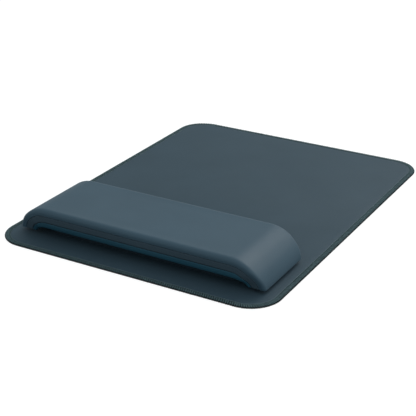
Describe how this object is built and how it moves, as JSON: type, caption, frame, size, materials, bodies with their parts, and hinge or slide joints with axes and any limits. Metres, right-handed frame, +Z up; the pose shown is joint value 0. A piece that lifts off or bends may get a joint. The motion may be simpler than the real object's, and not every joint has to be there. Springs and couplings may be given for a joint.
{
  "type": "wrist rest with mouse mat",
  "caption": "Padded bridge-shaped wrist rest with two height settings, on a stitched mouse mat with rounded corners.",
  "frame": {"origin": "centre of the mat's underside, on the desk", "axes": "+Y away from the user, +X to the user's right, +Z up; the rest is across the end nearest the user"},
  "size_m": [0.2, 0.26, 0.0226],
  "materials": {
    "backing": "matte natural rubber with a fine non-slip pattern",
    "core": "dense closed-cell cushioning sheet",
    "cover": "matte, very finely grained coated cloth",
    "hem_thread": "polyester overlock thread",
    "needle_thread": "polyester needle thread",
    "tape": "double-sided acrylic foam tape",
    "base": "moulded plastic, fine texture",
    "tray": "moulded plastic, satin",
    "screw": "zinc-plated steel",
    "foam": "charcoal open-cell polyurethane foam",
    "skin": "soft-touch coated cloth, matte",
    "gusset": "soft-touch coated cloth, matte, darker"
  },
  "bodies": {
    "mat": {"mat_backing": "backing", "mat_core": "core", "mat_cover": "cover", "hem_overlock_thread": "hem_thread", "hem_needle_thread": "needle_thread", "base_tape": "tape", "base_plate": "base"},
    "rest": {"support_tray": "tray", "lift_screws": "screw", "foam_pad": "foam", "top_skin": "skin", "front_gusset": "gusset", "rear_gusset": "gusset"}
  },
  "joints": [
    {"name": "height_setting", "type": "slide", "parent": "mat", "child": "rest", "axis": [0, 0, 1], "range_m": [-0.0022, 0]}
  ]
}
